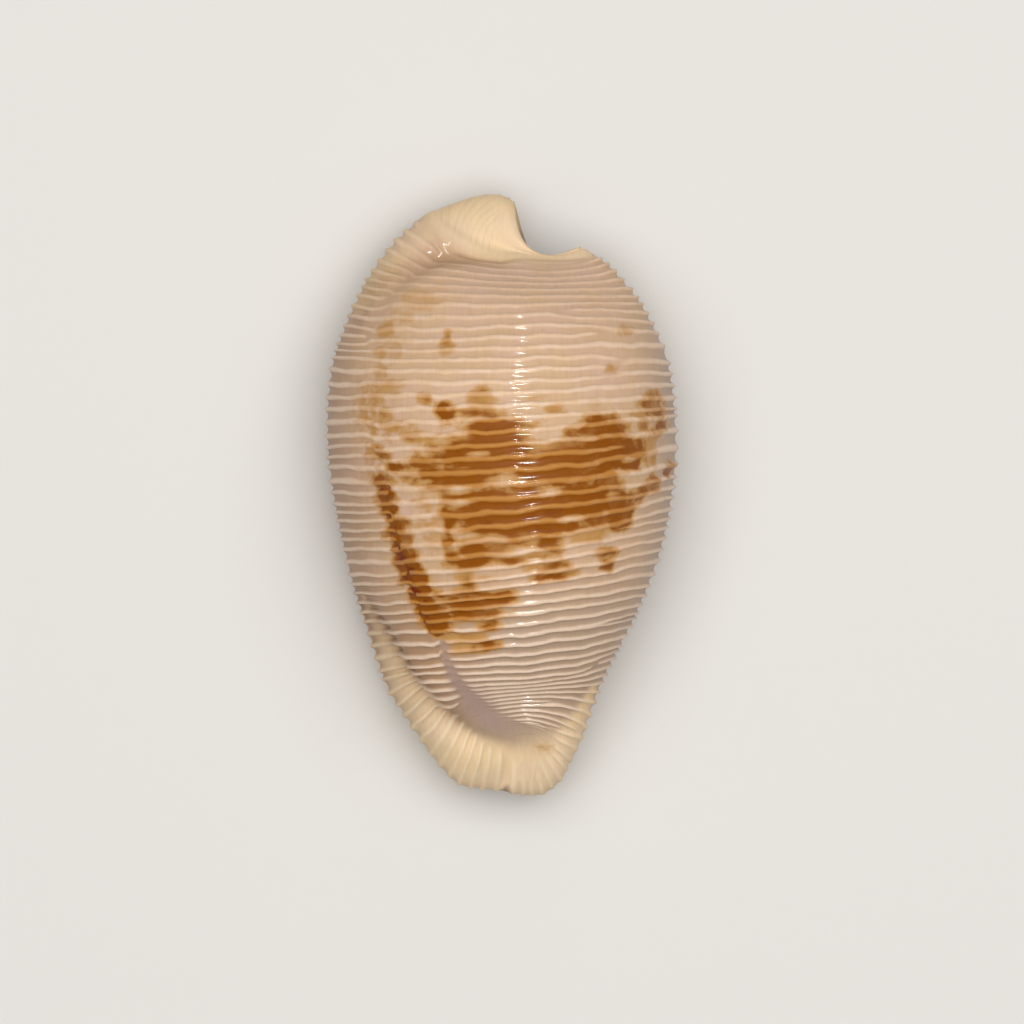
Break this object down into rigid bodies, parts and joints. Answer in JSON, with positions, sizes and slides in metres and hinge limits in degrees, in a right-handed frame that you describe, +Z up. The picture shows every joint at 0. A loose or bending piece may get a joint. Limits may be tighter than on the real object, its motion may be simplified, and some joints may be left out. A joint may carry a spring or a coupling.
{
  "type": "cowrie shell",
  "caption": "Small finely ribbed cowrie shell: domed back, notched beak, raised front rim and a narrow toothed slit along its flattened base.",
  "frame": {"origin": "middle of the base, on the surface the shell lies on, with the mouth down", "axes": "+Z up through the domed back, +Y towards the notched beak at the spire end, -Y towards the front canal, +X towards the inner-lip side"},
  "size_m": [0.0176, 0.03, 0.0142],
  "materials": {
    "shell": "glossy porcelain-like shell enamel, cream to warm tan, with brown blotches across the back"
  },
  "bodies": {
    "root": {"cowrie_shell": "shell"}
  },
  "joints": []
}
